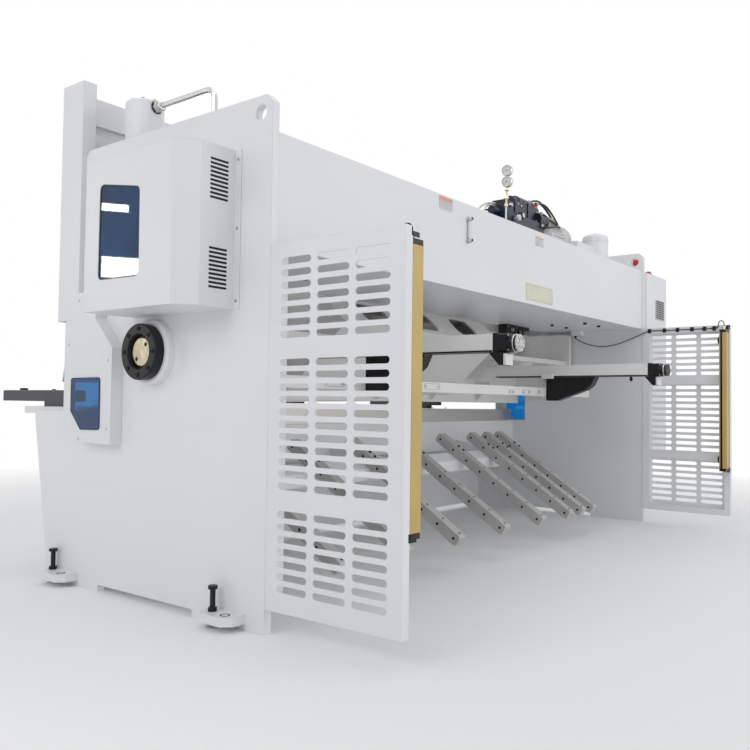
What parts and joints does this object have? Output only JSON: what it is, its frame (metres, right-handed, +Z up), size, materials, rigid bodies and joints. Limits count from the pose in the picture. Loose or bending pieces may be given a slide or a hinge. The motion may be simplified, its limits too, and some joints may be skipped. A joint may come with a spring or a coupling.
{
  "type": "hydraulic shear",
  "caption": "Hydraulic swing-beam plate shear: welded side plates, oil tank cross member, swinging blade beam, rear back gauge, slide bars, slotted rear guards and light curtains.",
  "frame": {"origin": "middle of the machine's footprint at floor level", "axes": "+X to the operator's right along the blades, +Y to the rear where cut strips fall, +Z up"},
  "size_m": [4.035, 2.371, 2.05],
  "materials": {
    "frame_paint": "semi-gloss off-white paint",
    "cover_paint": "semi-gloss light grey-white paint",
    "guard_paint": "semi-gloss light grey-white paint",
    "beam_paint": "semi-gloss light grey paint",
    "bar_paint": "satin mid-grey paint",
    "slate_paint": "satin dark slate paint",
    "black_steel": "satin black",
    "navy_paint": "semi-gloss dark blue paint",
    "tool_steel": "ground",
    "brass": "machined",
    "bright_steel": "bright",
    "curtain_yellow": "satin ochre yellow",
    "black_rubber": "matt black",
    "window_blue": "glossy blue tinted",
    "window_dark": "glossy dark blue tinted"
  },
  "bodies": {
    "frame": {"side_plate_right": "frame_paint", "pivot_pin_right": "brass", "pivot_flange_right": "black_steel", "cylinder_right": "cover_paint", "throat_cover_right": "cover_paint", "throat_window_right": "window_blue", "rear_guard_right": "guard_paint", "light_curtain_right": "curtain_yellow", "side_plate_left": "frame_paint", "pivot_pin_left": "brass", "pivot_flange_left": "black_steel", "cylinder_left": "cover_paint", "throat_cover_left": "cover_paint", "throat_window_left": "window_blue", "rear_guard_left": "guard_paint", "light_curtain_left": "curtain_yellow", "oil_tank": "frame_paint", "tank_lid": "frame_paint", "bed_beam": "frame_paint", "lower_blade": "tool_steel", "work_table": "frame_paint", "squaring_arm": "slate_paint", "support_arm_middle": "slate_paint", "support_arm_left": "slate_paint", "rear_cross_beam": "frame_paint", "hold_down_beam": "beam_paint", "front_cover": "cover_paint", "finger_guard": "cover_paint", "side_cover_right": "cover_paint", "side_window_right": "window_dark", "pump_unit": "navy_paint", "pump_motor": "beam_paint", "oil_pipe_right": "bright_steel", "oil_pipe_left": "bright_steel", "curtain_cable_left": "black_rubber", "filler_can": "cover_paint", "electric_cabinet": "cover_paint", "slide_bar_1": "bar_paint", "slide_bar_2": "bar_paint", "slide_bar_3": "bar_paint", "slide_bar_4": "bar_paint", "slide_bar_5": "bar_paint", "slide_bar_6": "bar_paint", "slide_bar_7": "bar_paint", "slide_bar_8": "bar_paint"},
    "blade_beam": {"swing_beam": "beam_paint", "upper_blade": "tool_steel", "gauge_arm_right": "beam_paint", "gauge_arm_left": "beam_paint", "gauge_end_plate_right": "black_steel", "gauge_end_plate_left": "black_steel", "gauge_motor_right": "black_steel", "gauge_motor_left": "black_steel"},
    "back_gauge": {"gauge_beam": "beam_paint", "gauge_slide_right": "black_steel", "gauge_slide_left": "black_steel"}
  },
  "joints": [
    {"name": "beam_swing", "type": "hinge", "parent": "frame", "child": "blade_beam", "pos_m": [0.0825, 0.0475, 0.923], "axis": [1, 0, 0], "range_deg": [0, 12.5]},
    {"name": "back_gauge_travel", "type": "slide", "parent": "blade_beam", "child": "back_gauge", "axis": [0, 1, 0], "range_m": [-0.43, 0.14]}
  ]
}
